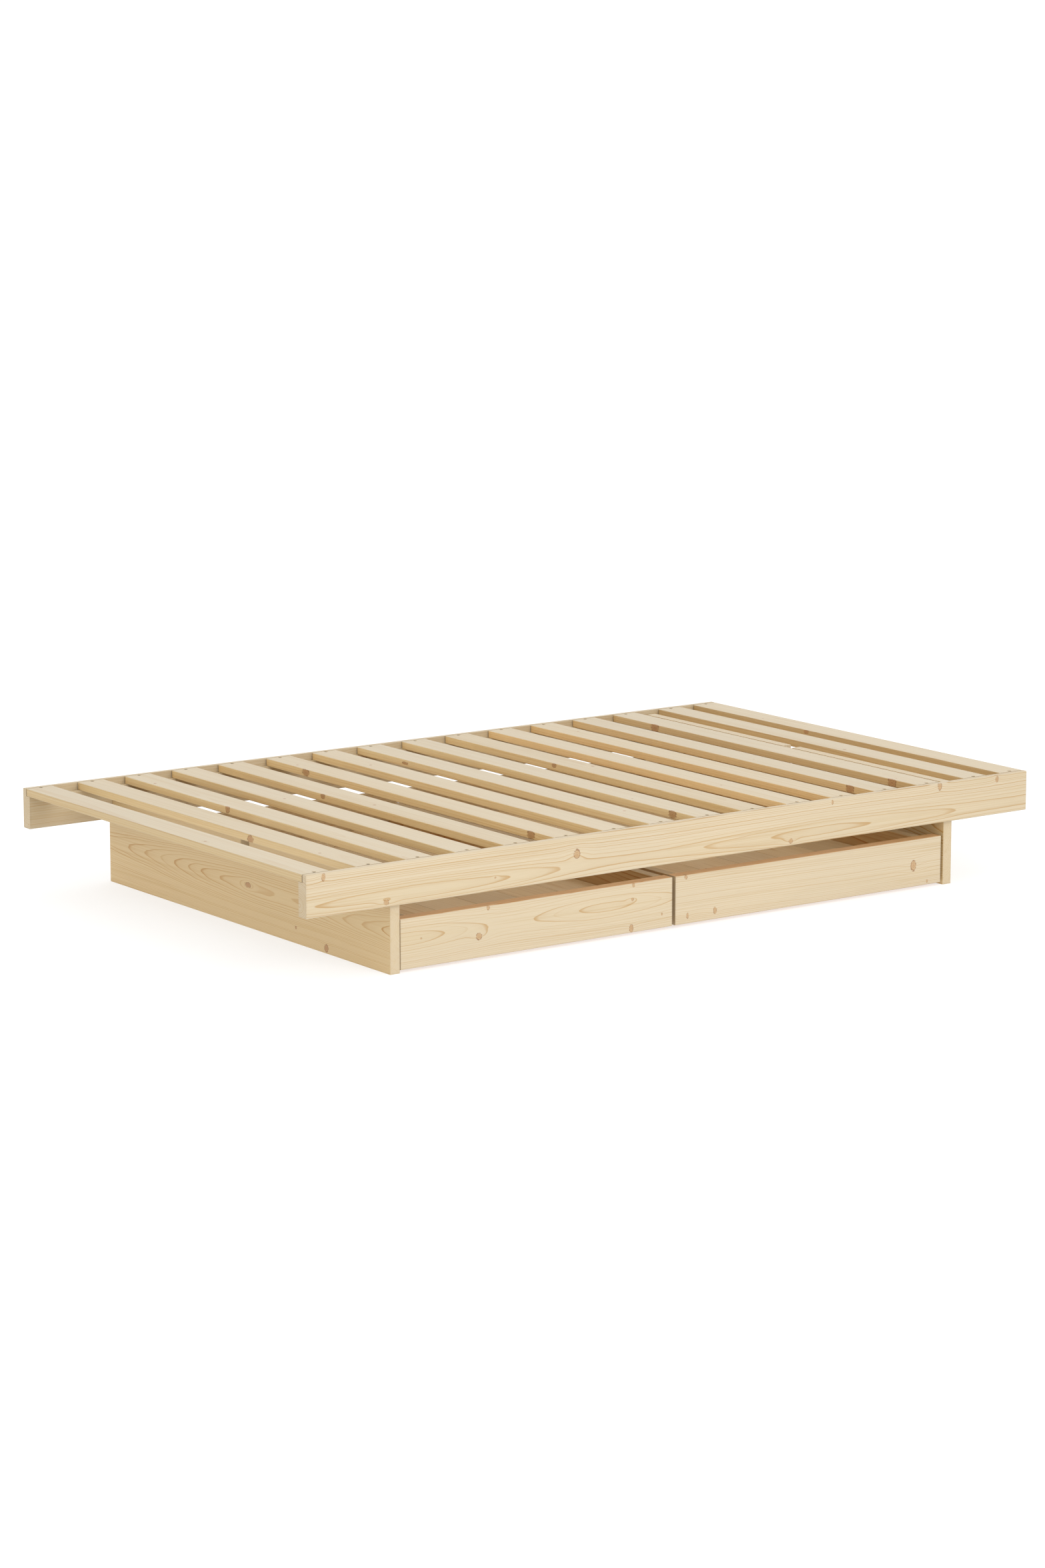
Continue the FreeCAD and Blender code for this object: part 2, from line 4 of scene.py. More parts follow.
import bpy
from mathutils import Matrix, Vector


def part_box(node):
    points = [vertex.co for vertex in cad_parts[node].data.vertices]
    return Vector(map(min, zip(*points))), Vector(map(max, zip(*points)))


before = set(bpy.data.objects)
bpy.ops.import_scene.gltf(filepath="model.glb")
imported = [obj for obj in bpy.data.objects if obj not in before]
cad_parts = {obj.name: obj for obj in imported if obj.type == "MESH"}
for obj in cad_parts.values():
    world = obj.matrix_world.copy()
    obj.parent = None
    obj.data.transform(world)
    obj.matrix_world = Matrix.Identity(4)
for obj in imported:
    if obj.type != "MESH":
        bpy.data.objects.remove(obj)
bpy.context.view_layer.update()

# The looks of a low pine bed frame with two underbed drawers: each board has wood of its own, the
# screws, brackets and glides have steel and nylon, and a pale studio stands around them. Every
# shape is the frame's own; no piece is added or replaced.

MM = 0.001
WHITE = (1.0, 1.0, 1.0, 1.0)
RANDOM_SEED = 7


# ---------------------------------------------------------------- small helpers

def colour(red, green, blue):
    """A screen colour, 0 to 255, as the linear colour that shaders take."""
    parts = []
    for part in (red, green, blue):
        share = part / 255
        parts.append(share / 12.92 if share <= 0.04045 else ((share + 0.055) / 1.055) ** 2.4)
    return (*parts, 1.0)


class Tree:
    """Short calls for building one node tree."""

    MIX_INPUTS = (0, 6, 7)  # a colour mix's amount and its two colours, among the node's sockets
    MIX_OUTPUT = 2

    def __init__(self, tree):
        self.tree = tree

    def feed(self, socket, value):
        """Link the socket to an output, or set its own value."""
        if isinstance(value, bpy.types.NodeSocket):
            self.tree.links.new(value, socket)
        else:
            socket.default_value = value

    def node(self, kind, inputs=None, **settings):
        made = self.tree.nodes.new(kind)
        for name, value in settings.items():
            setattr(made, name, value)
        for name, value in (inputs or {}).items():
            self.feed(made.inputs[name], value)
        return made

    def math(self, operation, *values, clamp=False):
        made = self.node("ShaderNodeMath", operation=operation, use_clamp=clamp)
        for socket, value in zip(made.inputs, values):
            self.feed(socket, value)
        return made.outputs[0]

    def rest(self, value):
        """1 less the value."""
        return self.math("SUBTRACT", 1.0, value)

    def product(self, first, *others):
        for other in others:
            first = self.math("MULTIPLY", first, other)
        return first

    def slope(self, value, steepness, start):
        """A straight line: the start, plus the steepness times the value."""
        return self.math("MULTIPLY_ADD", value, steepness, start)

    def vector(self, operation, *values, scale=None):
        made = self.node("ShaderNodeVectorMath", operation=operation)
        for socket, value in zip(made.inputs, values):
            self.feed(socket, value)
        if scale is not None:
            self.feed(made.inputs["Scale"], scale)
        scalar = operation in ("LENGTH", "DOT_PRODUCT")
        return made.outputs["Value" if scalar else "Vector"]

    def split(self, value):
        return self.node("ShaderNodeSeparateXYZ", {"Vector": value}).outputs

    def join(self, x, y, z):
        return self.node("ShaderNodeCombineXYZ", {"X": x, "Y": y, "Z": z}).outputs[0]

    def rise(self, value, low, high):
        """0 below low, 1 above high, and smooth between."""
        made = self.node("ShaderNodeMapRange", interpolation_type="SMOOTHSTEP")
        for name, number in (("Value", value), ("From Min", low), ("From Max", high)):
            self.feed(made.inputs[name], number)
        return made.outputs[0]

    def noise(self, place, detail=2.0, roughness=0.5):
        inputs = {"Vector": place, "Scale": 1.0, "Detail": detail, "Roughness": roughness}
        return self.node("ShaderNodeTexNoise", inputs, noise_dimensions="3D").outputs[0]

    def around_zero(self, place, size, detail=2.0):
        """Noise from about -size / 2 to size / 2."""
        return self.product(self.math("SUBTRACT", self.noise(place, detail), 0.5), size)

    def mix(self, amount, first, second, blend="MIX"):
        made = self.node("ShaderNodeMix", data_type="RGBA", blend_type=blend)
        for number, value in zip(self.MIX_INPUTS, (amount, first, second)):
            self.feed(made.inputs[number], value)
        return made.outputs[self.MIX_OUTPUT]

    def lay(self, base, where, strength, tone):
        """The base colour with a tone laid over it, most strongly where `where` is 1."""
        return self.mix(self.product(where, strength), base, tone)

    def bump(self, shader, height, strength, distance):
        """Fine relief on the shader's surface."""
        inputs = {"Height": height, "Strength": strength, "Distance": distance}
        self.feed(shader.inputs["Normal"], self.node("ShaderNodeBump", inputs).outputs[0])


def new_group(name, inputs, outputs):
    """An empty node group, as its Tree, the values given to it and the sockets of what it makes."""
    tree = bpy.data.node_groups.new(name, "ShaderNodeTree")
    for label, kind in inputs:
        tree.interface.new_socket(label, in_out="INPUT", socket_type="NodeSocket" + kind)
    for label, kind in outputs:
        tree.interface.new_socket(label, in_out="OUTPUT", socket_type="NodeSocket" + kind)
    graph = Tree(tree)
    start = graph.node("NodeGroupInput")
    end = graph.node("NodeGroupOutput")
    return graph, start.outputs, end.inputs


def new_material(name):
    material = bpy.data.materials.new(name)
    material.use_nodes = True
    material.node_tree.nodes.clear()
    graph = Tree(material.node_tree)
    shader = graph.node("ShaderNodeBsdfPrincipled")
    output = graph.node("ShaderNodeOutputMaterial")
    graph.feed(output.inputs["Surface"], shader.outputs[0])
    return material, graph, shader


def dress(node, material):
    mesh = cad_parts[node].data
    mesh.materials.clear()
    mesh.materials.append(material)


# ---------------------------------------------------------------- how knots are made

def make_knot_group():
    """A branch that runs out from the pith: its core, its dark rim and how it pushes the rings."""
    start_at_pith = (0.0, 0.004)  # metres
    narrowest, widest = 0.12, 1.6  # these and the next five are in knot radii
    outline_swing = 0.35
    core_edge = (0.8, 1.05)
    rim_start, rim_end = (0.75, 0.95), (1.0, 1.2)
    middle_edge = (0.1, 0.5)
    push_reach, push_depth = 1.7, 0.8
    push_shape = (0.38, 1.0, 1.0)  # the push reaches furthest along the grain
    rim_breaks = (0.38, 0.56)
    outline_scale, rim_scale = 160.0, 190.0
    ring_turns = 17.0

    inputs = [
        ("Place", "Vector"), ("Root", "Vector"), ("Way", "Vector"), ("Reach", "Float"),
        ("Radius", "Float"), ("Stretch", "Float"),
    ]
    outputs = [("Core", "Float"), ("Rim", "Float"), ("Rings", "Float"), ("Push", "Float")]
    graph, given, made = new_group("pine_knot", inputs, outputs)
    from_root = graph.vector("SUBTRACT", given["Place"], given["Root"])
    out = graph.vector("DOT_PRODUCT", from_root, given["Way"])
    beside = graph.vector("SUBTRACT", from_root, graph.vector("SCALE", given["Way"], scale=out))
    outward = graph.rise(out, *start_at_pith)
    widening = graph.math("MAXIMUM", graph.math("DIVIDE", out, given["Reach"]), narrowest)
    radius = graph.product(given["Radius"], graph.math("MINIMUM", widening, widest))
    shape = graph.join(given["Stretch"], 1.0, 1.0)
    near = graph.vector("LENGTH", graph.vector("MULTIPLY", beside, shape))
    outline = graph.vector("SCALE", given["Place"], scale=outline_scale)
    uneven = graph.around_zero(outline, outline_swing)
    share = graph.math("ADD", graph.math("DIVIDE", near, radius), uneven)

    core = graph.rest(graph.rise(share, *core_edge))
    graph.feed(made["Core"], graph.product(core, outward))
    rim = graph.product(graph.rise(share, *rim_start), graph.rest(graph.rise(share, *rim_end)))
    breaks = graph.noise(graph.vector("SCALE", given["Place"], scale=rim_scale), detail=1.0)
    graph.feed(made["Rim"], graph.product(rim, graph.rise(breaks, *rim_breaks), outward))
    middle = graph.rest(graph.rise(share, *middle_edge))
    waves = graph.math("SINE", graph.product(share, ring_turns))
    graph.feed(made["Rings"], graph.math("ADD", waves, middle))

    wide = graph.vector("LENGTH", graph.vector("MULTIPLY", beside, push_shape))
    fall = graph.math("POWER", graph.math("DIVIDE", wide, graph.product(radius, push_reach)), 2.0)
    swell = graph.math("EXPONENT", graph.product(fall, -1.0))
    graph.feed(made["Push"], graph.product(radius, push_depth, swell, outward))
    return graph.tree


# ---------------------------------------------------------------- how pine is made

EARLY_WOOD, WARM_WOOD = colour(233, 217, 188), colour(230, 203, 155)
HEART_WOOD = colour(223, 198, 149)
STREAK = colour(218, 190, 140)
FINE_STREAK = colour(205, 172, 116)
RING_LINE = colour(198, 150, 76)
END_GRAIN = colour(196, 160, 108)
PALE_KNOT = colour(219, 184, 130), colour(193, 146, 90)
DARK_KNOT = colour(200, 136, 78), colour(172, 100, 50)
KNOT_RIM = colour(150, 94, 46)

# how fine each kind of noise is, along the grain and across it
SLOW_BENDS, QUICK_BENDS = (1.6, 9.0, 9.0), (7.0, 45.0, 45.0)
FIBRES = (28.0, 900.0, 900.0)
BLOTCHES = (3.0, 9.0, 9.0)
STREAKS, FINE_STREAKS = (1.5, 70.0, 70.0), (1.2, 330.0, 330.0)


class Wood:
    """The parts of the pine group, each built from the values given to the group."""

    def __init__(self, graph, given):
        self.graph = graph
        self.given = given
        self.own = graph.join(given["Seed"], graph.product(given["Seed"], 1.7), given["Seed"])

    def drawn_out(self, fineness):
        """The place on the board, scaled for a noise, and moved by the board's own seed."""
        scaled = self.graph.vector("MULTIPLY", self.given["Place"], fineness)
        return self.graph.vector("ADD", scaled, self.own)

    def from_pith(self):
        """How far each point lies from a pith that leans and waves along the board."""
        graph, given = self.graph, self.given
        u, v, w = graph.split(given["Place"])
        turn = graph.math("DIVIDE", graph.math("SUBTRACT", u, given["Wave shift"]), given["Wave length"])
        wave = graph.product(graph.math("COSINE", graph.product(turn, math.tau)), given["Wave"])
        pith = graph.vector("ADD", given["Pith"], graph.vector("SCALE", given["Lean"], scale=u))
        _, off_v, off_w = graph.split(graph.vector("SUBTRACT", graph.join(0.0, v, w), pith))
        return graph.vector("LENGTH", graph.join(0.0, graph.math("ADD", off_v, wave), off_w))

    def rings(self):
        """How deep in the log each point lies, and the lines of late wood there, 0 to 1."""
        slow_bend, quick_bend = 0.012, 0.0016  # metres
        uneven_fineness, uneven_swing = 0.55, 1.1  # in rings
        late_start, late_end = (0.6, 0.96), (0.965, 1.0)  # in shares of a ring
        soft_start, soft_strength = (0.1, 0.9), 0.16
        strength_range, faintest = 0.8, 0.2
        side_gain = 2.0

        graph, given = self.graph, self.given
        slow = graph.around_zero(self.drawn_out(SLOW_BENDS), slow_bend)
        quick = graph.around_zero(self.drawn_out(QUICK_BENDS), quick_bend)
        bend = graph.math("ADD", slow, quick)
        bent = graph.math("SUBTRACT", graph.math("ADD", self.from_pith(), bend), given["Push"])
        ring = graph.math("ADD", graph.math("DIVIDE", bent, given["Spacing"]), given["Seed"])
        uneven = graph.join(graph.product(ring, uneven_fineness), given["Seed"], 0.0)
        ring = graph.math("ADD", ring, graph.around_zero(uneven, uneven_swing, detail=1.0))
        within = graph.math("FRACT", ring)
        sharp = graph.math("POWER", graph.rise(within, *late_start), 2.0)
        soft = graph.product(graph.rise(within, *soft_start), soft_strength)
        ended = graph.rest(graph.rise(within, *late_end))
        late = graph.product(graph.math("MAXIMUM", sharp, soft), ended)

        by_ring = graph.node("ShaderNodeTexWhiteNoise", noise_dimensions="1D")
        graph.feed(by_ring.inputs["W"], graph.math("FLOOR", ring))
        strength = graph.slope(by_ring.outputs["Value"], strength_range, faintest)
        amount = graph.product(given["Line"], graph.slope(given["Side facing"], side_gain, 1.0))
        line = graph.math("MULTIPLY", graph.product(late, strength), amount, clamp=True)
        return graph.math("ADD", bent, bend), line

    def clear_colour(self, depth, line, blotch):
        """Wood without knots: heartwood, streaks, ring lines, painted shade on the sides and end grain."""
        heart_edge, heart_strength = (0.016, 0.05), 0.25  # the edge is in metres from the pith
        streak_edge, streak_strength = (0.5, 0.75), 0.25
        fine_edge, fine_patches, fine_strength = (0.5, 0.66), (0.35, 0.6), 0.28
        line_strength = 0.95

        graph, given = self.graph, self.given
        base = graph.mix(given["Warmth"], EARLY_WOOD, WARM_WOOD)
        heart = graph.rest(graph.rise(depth, *heart_edge))
        base = graph.lay(base, heart, heart_strength, HEART_WOOD)
        streak = graph.rise(graph.noise(self.drawn_out(STREAKS)), *streak_edge)
        base = graph.lay(base, streak, streak_strength, STREAK)
        fine = graph.rise(graph.noise(self.drawn_out(FINE_STREAKS), detail=1.0), *fine_edge)
        fine = graph.product(fine, graph.rise(blotch, *fine_patches))
        base = graph.lay(base, fine, fine_strength, FINE_STREAK)
        base = graph.lay(base, line, line_strength, RING_LINE)
        # painted shade: the sideways faces are multiplied by a tint that stands in for the warm shade and
        # bounce light they get
        tinted = graph.mix(1.0, base, given["Painted shade tint"], "MULTIPLY")
        base = graph.mix(given["Side facing"], base, tinted)
        return graph.lay(base, given["Facing"], given["End shade"], END_GRAIN)

    def with_knots(self, base):
        """The wood with its knots, pale to dark, each with rings of its own and a dark rim."""
        ring_edge, core_strength, rim_strength = (-0.3, 0.9), 0.7, 0.75
        graph, given = self.graph, self.given
        rings = graph.rise(given["Rings"], *ring_edge)
        pale, dark = graph.mix(rings, *PALE_KNOT), graph.mix(rings, *DARK_KNOT)
        knot = graph.mix(given["Knot depth"], pale, dark)
        base = graph.lay(base, given["Core"], core_strength, knot)
        return graph.lay(base, given["Rim"], rim_strength, KNOT_RIM)

    def rubbed(self, blotch):
        """Highest on the board's edges, where use has rubbed them, in patches."""
        edge_width = (0.0008, 0.0045)  # metres
        patch_gain, least = 0.5, 0.05
        graph, given = self.graph, self.given
        room = graph.vector("SUBTRACT", given["Half size"], graph.vector("ABSOLUTE", given["Place"]))
        room_u, room_v, room_w = graph.split(room)
        low_pair = graph.math("MINIMUM", room_u, room_v)
        high_pair = graph.math("MAXIMUM", room_u, room_v)
        second_least = graph.math("MAXIMUM", low_pair, graph.math("MINIMUM", high_pair, room_w))
        edge = graph.rest(graph.rise(second_least, *edge_width))
        return graph.product(edge, graph.slope(blotch, patch_gain, least))


def make_pine_group():
    """Planed pine cut from a log: growth rings about a pith that wanders along the board."""
    fibre_shade, blotch_shade, rub_shade = (0.08, 0.66), (0.1, 0.95), (-0.16, 1.0)
    fibre_rough, line_rough, rub_rough = (0.14, 0.44), -0.1, 0.15
    fibre_height, line_height, knot_height = 0.5, 0.6, 0.4

    inputs = [
        ("Place", "Vector"), ("Facing", "Float"), ("Half size", "Vector"), ("Pith", "Vector"),
        ("Lean", "Vector"), ("Wave", "Float"), ("Wave length", "Float"), ("Wave shift", "Float"),
        ("Spacing", "Float"), ("Seed", "Float"), ("Line", "Float"), ("Warmth", "Float"),
        ("Shade", "Float"), ("End shade", "Float"), ("Side facing", "Float"),
        ("Painted shade tint", "Color"), ("Tint", "Color"), ("Knot depth", "Float"),
        ("Push", "Float"), ("Core", "Float"), ("Rim", "Float"), ("Rings", "Float"),
    ]
    outputs = [("Color", "Color"), ("Roughness", "Float"), ("Height", "Float")]
    graph, given, made = new_group("pine_board", inputs, outputs)
    wood = Wood(graph, given)
    depth, line = wood.rings()
    fibre = graph.noise(wood.drawn_out(FIBRES), detail=3.0)
    blotch = graph.noise(wood.drawn_out(BLOTCHES))
    rub = wood.rubbed(blotch)

    base = wood.with_knots(wood.clear_colour(depth, line, blotch))
    # painted light and shade: the tint makes the drawers' inner boards browner and their planks warmer
    base = graph.mix(1.0, base, given["Tint"], "MULTIPLY")
    shade = graph.product(
        graph.slope(fibre, *fibre_shade), graph.slope(blotch, *blotch_shade),
        graph.slope(rub, *rub_shade), given["Shade"],
    )
    graph.feed(made["Color"], graph.mix(1.0, base, graph.join(shade, shade, shade), "MULTIPLY"))

    rough = graph.slope(line, line_rough, graph.slope(fibre, *fibre_rough))
    graph.feed(made["Roughness"], graph.slope(rub, rub_rough, rough))
    height = graph.slope(fibre, fibre_height, graph.product(line, line_height))
    graph.feed(made["Height"], graph.slope(given["Core"], knot_height, height))
    return graph.tree


KNOT_GROUP = make_knot_group()
PINE_GROUP = make_pine_group()
AXES = {"X": "XYZ", "Y": "YXZ"}  # a board's own axes: along its grain, then the other two
FACING = (0.6, 0.9)  # how squarely a surface faces an axis when it starts and ends to count
KNOT_STRETCH = 0.85
# painted shade: colours that the boards' sideways faces are multiplied by, for the warm shade and bounce
# light they get
GOLDEN_PAINTED_SHADE = (1.06, 0.95, 0.71)
BROWN_PAINTED_SHADE = (1.1, 0.92, 0.64)


def pine(node, grain, pith, spacing=6.0, wave=(0.0, 1125.0, 0.0), lean=(0.0, 0.0), seed=0.0,
         line=0.6, warmth=0.2, shade=1.0, end_shade=0.35, side=0.0, side_axis=None,
         painted_side_light=1.0, painted_side_colour=GOLDEN_PAINTED_SHADE, tint=(1.0, 1.0, 1.0), knot_depth=0.25, knots=()):
    """Give a board its wood.

    Lengths are in mm from the board's middle: along the grain, then the other two axes in X, Y, Z
    order. The log's pith lies at `pith` across the board, leans along it by `lean` and waves by
    (height, length, shift). Rings are `spacing` wide, with lines as strong as `line`. The surfaces
    that face side_axis, by default the first axis across the grain, get painted shade: they are
    coloured by the given side colour times the given side brightness, as far as `side` says, in
    place of the shade and bounce light they get. A knot is (along, across, across, radius), where it
    comes out of the wood, and may end with its stretch: the lower, the longer it is.
    """
    low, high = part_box(node)
    middle = (low + high) / 2
    half = (high - low) / 2
    material, graph, shader = new_material(node + "_pine")
    spot = graph.node("ShaderNodeTexCoord")
    parts = graph.split(graph.vector("SUBTRACT", spot.outputs["Object"], tuple(middle)))
    order = ["XYZ".index(letter) for letter in AXES[grain]]
    place = graph.join(*(parts[number] for number in order))
    normal = graph.split(spot.outputs["Normal"])
    end_on = graph.rise(graph.math("ABSOLUTE", normal[order[0]]), *FACING)
    side_number = "XYZ".index(side_axis) if side_axis else order[1]
    side_on = graph.rise(graph.math("ABSOLUTE", normal[side_number]), *FACING)

    pith = Vector((0.0, pith[0], pith[1])) * MM
    values = {
        "Place": place, "Facing": end_on, "Side facing": graph.product(side_on, side),
        "Half size": tuple(half[number] for number in order), "Pith": tuple(pith),
        "Lean": (0.0, lean[0], lean[1]), "Wave": wave[0] * MM, "Wave length": wave[1] * MM,
        "Wave shift": wave[2] * MM, "Spacing": spacing * MM, "Seed": seed, "Line": line,
        "Warmth": warmth, "Shade": shade, "End shade": end_shade,
        "Painted shade tint": (*(part * painted_side_light for part in painted_side_colour), 1.0),
        "Tint": (*tint, 1.0), "Knot depth": knot_depth,
        "Push": 0.0, "Core": 0.0, "Rim": 0.0, "Rings": 0.0,
    }
    for along, across, upward, radius, *stretch in knots:
        root = Vector((along * MM, pith.y, pith.z))
        way = Vector((along, across, upward)) * MM - root
        knot = graph.node("ShaderNodeGroup", node_tree=KNOT_GROUP)
        graph.feed(knot.inputs["Place"], place)
        graph.feed(knot.inputs["Root"], root)
        graph.feed(knot.inputs["Way"], way.normalized())
        graph.feed(knot.inputs["Reach"], way.length)
        graph.feed(knot.inputs["Radius"], radius * MM)
        graph.feed(knot.inputs["Stretch"], stretch[0] if stretch else KNOT_STRETCH)
        values["Rings"] = graph.slope(knot.outputs["Rings"], knot.outputs["Core"], values["Rings"])
        for name in ("Push", "Core", "Rim"):
            values[name] = graph.math("MAXIMUM", knot.outputs[name], values[name])
    board = graph.node("ShaderNodeGroup", values, node_tree=PINE_GROUP)

    graph.feed(shader.inputs["Base Color"], board.outputs["Color"])
    graph.feed(shader.inputs["Roughness"], board.outputs["Roughness"])
    shader.inputs["Coat Weight"].default_value = 0.06
    shader.inputs["Coat Roughness"].default_value = 0.32
    graph.bump(shader, board.outputs["Height"], strength=0.25, distance=0.0004)
    dress(node, material)


def on_face(across, *spots):
    """Knots on the face that lies `across` from the board's middle: (along, up, radius, ...)."""
    return [(along, across, *others) for along, *others in spots]


# ---------------------------------------------------------------- rails, slats and leg boards

chance = random.Random(RANDOM_SEED)

pine(
    "rail_front", "X", (13, -21.5), spacing=4.4, wave=(6.0, 1125, 350), seed=3.1, line=1.0, end_shade=0.08,
    knots=on_face(
        -15, (-986, 38, 4), (-825, -36, 5.5), (-314, 6, 7), (-537, -18, 2), (300, -36, 5),
        (424, 40, 2.5), (754, 41, 5), (935, 37, 3.5),
    ),
)
pine(
    "rail_back", "X", (-15, 10), wave=(6, 1300, -200), seed=8.4, end_shade=0.1,
    knots=(
        on_face(15, (-600, -20, 9)) + on_face(-15, (-90, 20, 7))
        + on_face(15, (420, 12, 10), (830, -15, 6))
    ),
)

SLAT_COUNT = 16
SLAT_TOP = 9
STREAKY_SLATS = (3, 5, 10, 16)
# painted light and shade: each slat's sides get the painted shade colour, made brighter or darker slat by
# slat for how much light falls on them, and browner from slat 11 on
FIRST_SLAT_IN_BROWN_SHADE = 11
SLAT_PAINTED_SIDE_LIGHT = {1: 0.95, 2: 1.1, 3: 1.2, 12: 1.2, 13: 1.15, 14: 1.0, 15: 0.88, 16: 0.8}
OTHER_PAINTED_SIDE_LIGHT = 1.3
SLAT_SIDE_KNOTS = (  # the slats that have the knot on their left side, and the knot
    (STREAKY_SLATS, (133, 4, 3, 0.3)),
    ((6, 9, 13, 14), (-505, 0, 5, 0.35)),
    ((6, 14), (419, 1, 4.5, 0.3)),
    ((2,), (-170, -3, 5, 0.4)),
    ((8,), (385, 0, 2.5, 0.2)),
)
for number in range(1, SLAT_COUNT + 1):
    streaky = number in STREAKY_SLATS
    top_knot = (chance.uniform(-500, 500), chance.uniform(-25, 25), SLAT_TOP, chance.uniform(2, 4))
    side_knots = on_face(-35, *(knot for slats, knot in SLAT_SIDE_KNOTS if number in slats))
    pine(
        f"slat_{number:02d}", "Y", (chance.uniform(-25, 25), chance.uniform(-90, -45)),
        spacing=chance.uniform(4.5, 7) * (0.5 if streaky else 1),
        wave=(5, 1100, chance.uniform(0, 900)),
        lean=(chance.uniform(-0.02, 0.02), 0),
        warmth=chance.uniform(0.05, 0.3),
        shade=chance.uniform(0.97, 1.02),
        seed=number * 2.3, line=0.3 if streaky else 0.2, side=1.0,
        painted_side_light=SLAT_PAINTED_SIDE_LIGHT.get(number, OTHER_PAINTED_SIDE_LIGHT),
        painted_side_colour=BROWN_PAINTED_SHADE if number >= FIRST_SLAT_IN_BROWN_SHADE else GOLDEN_PAINTED_SHADE,
        knot_depth=0.8, knots=[top_knot, *side_knots],
    )

# painted shade: the legs' sideways faces get most of the golden painted shade colour, a little brightened
LEG = {"side": 0.8, "end_shade": 0.05, "painted_side_light": 1.06, "knot_depth": 0.8}
pine(
    "leg_left", "Y", (48, -15), spacing=2.4, wave=(3, 900, 100), lean=(0.02, 0), seed=5.2, line=0.5,
    warmth=0.3, **LEG,
    knots=on_face(-13, (-22, -14, 6, 0.55), (-221, -76, 2.5), (-345, -100, 5, 0.7), (-168, 42, 6)),
)
pine(
    "leg_right", "Y", (-95, 20), spacing=3.4, wave=(7, 900, -250), seed=6.7, line=0.6, warmth=0.35,
    **LEG, knots=on_face(-13, (-400, -20, 8)) + on_face(13, (180, 40, 9)),
)


# ---------------------------------------------------------------- drawers

# painted shade: the drawer fronts' top and bottom faces are tinted orange-brown for the shade that the
# rail casts on their top edges
FRONT_TOP_PAINTED_SHADE = {"side": 1.0, "side_axis": "Z", "painted_side_colour": (1.2, 0.88, 0.6)}
# painted shade: the drawers' inner boards are a little darker and browner, and the side boards' sideways
# faces browner still, for the shade inside the drawers
INSIDE_PAINTED_SHADE = {"shade": 0.98, "tint": (1.0, 0.9, 0.76)}
BOX_SIDE = {"warmth": 0.3, "side": 1.0, "painted_side_colour": (0.96, 0.82, 0.64), **INSIDE_PAINTED_SHADE}
# painted light: the drawers' planks are tinted warmer than other boards, for the light that reaches the
# drawers' floors
PLANK_PAINTED_LIGHT = (1.02, 0.94, 0.83)
PLANK_TOP = 6
BATTEN_COUNT = 3
PLANK_COUNT = 6

pine(
    "left_drawer_front", "X", (15, 12), spacing=4.2, wave=(5.5, 560, 200), seed=11.3, line=0.8, **FRONT_TOP_PAINTED_SHADE,
    knots=on_face(
        -16, (-164, -8, 6.5), (259, 20, 3.5), (262, 52, 3), (343, -25, 2), (256, -46, 4.5),
        (-318, 7, 2), (-139, 52, 3.5),
    ),
)
pine(
    "right_drawer_front", "X", (85, 150), spacing=3.6, wave=(5, 1500, 300), seed=12.9, line=0.7, **FRONT_TOP_PAINTED_SHADE,
    knots=on_face(
        -16, (314, -5, 7), (-369, 52, 3.5), (-364, -38, 3), (-284, -36, 4), (357, -48, 2),
    ),
)
for drawer, seed in (("left_drawer", 20.0), ("right_drawer", 30.0)):
    pine(f"{drawer}_side_left", "Y", (50, -15), wave=(6, 1000, 100), seed=seed + 1, **BOX_SIDE,
         knots=on_face(-12, (-260, 10, 7)) + on_face(12, (310, -15, 6)))
    pine(f"{drawer}_side_right", "Y", (-50, 10), wave=(6, 1000, 300), seed=seed + 2, **BOX_SIDE,
         knots=on_face(-12, (-60, 20, 8)) + on_face(12, (390, 5, 5)))
    pine(f"{drawer}_back", "X", (-40, 25), wave=(6, 800, 100), seed=seed + 3, warmth=0.3, **INSIDE_PAINTED_SHADE,
         knots=on_face(-7.5, (-150, 20, 7), (220, -30, 6)))
    for number in range(1, BATTEN_COUNT + 1):
        pine(f"{drawer}_batten_{number}", "X", (-30, 25), seed=seed + 3 + number, warmth=0.35, **INSIDE_PAINTED_SHADE)
    # painted light: the planks are brighter and warmer than the frame's boards, for the light that reaches
    # them inside the drawers
    for number in range(1, PLANK_COUNT + 1):
        pith = (chance.uniform(-40, 40), chance.uniform(-80, -40))
        knot = (chance.uniform(-450, 450), chance.uniform(-40, 40), PLANK_TOP, chance.uniform(4, 8))
        pine(f"{drawer}_plank_{number}", "Y", pith, spacing=chance.uniform(4, 6),
             wave=(6, 900, 40 * number), seed=seed + 7 + number, line=0.8,
             warmth=chance.uniform(0.4, 0.8), shade=chance.uniform(1.05, 1.28),
             tint=PLANK_PAINTED_LIGHT, knots=[knot])


# ---------------------------------------------------------------- steel and plastic

